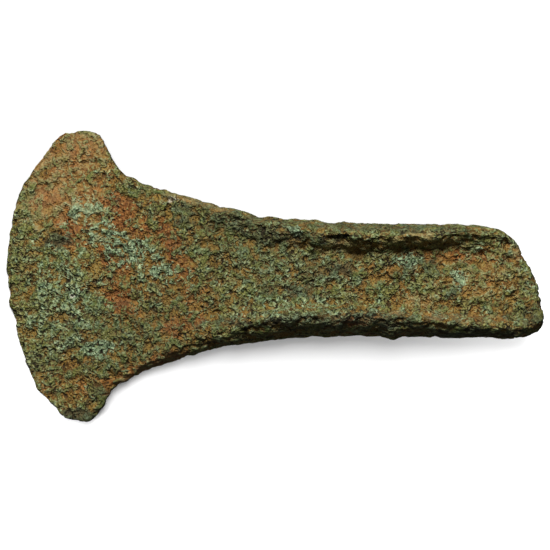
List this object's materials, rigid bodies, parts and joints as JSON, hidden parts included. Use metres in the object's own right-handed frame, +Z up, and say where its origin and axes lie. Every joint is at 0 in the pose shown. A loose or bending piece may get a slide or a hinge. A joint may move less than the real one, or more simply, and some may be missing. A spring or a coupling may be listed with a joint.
{
  "type": "flanged axe head",
  "caption": "Corroded Bronze Age flanged axe head with a flaring curved blade and raised side flanges that grip a split wooden haft; it lies flat.",
  "frame": {"origin": "centre of the head's bounding box, at its lowest point", "axes": "+X from the cutting edge to the butt, +Y across the blade to the tip of the shorter flange, +Z up as the head lies"},
  "size_m": [0.1244, 0.0688, 0.0207],
  "materials": {
    "patinated_bronze": "cast bronze under a dry, matt, granular corrosion crust: olive green-brown, with rusty orange-brown earth and pale verdigris"
  },
  "bodies": {
    "root": {"axe_head": "patinated_bronze"}
  },
  "joints": []
}
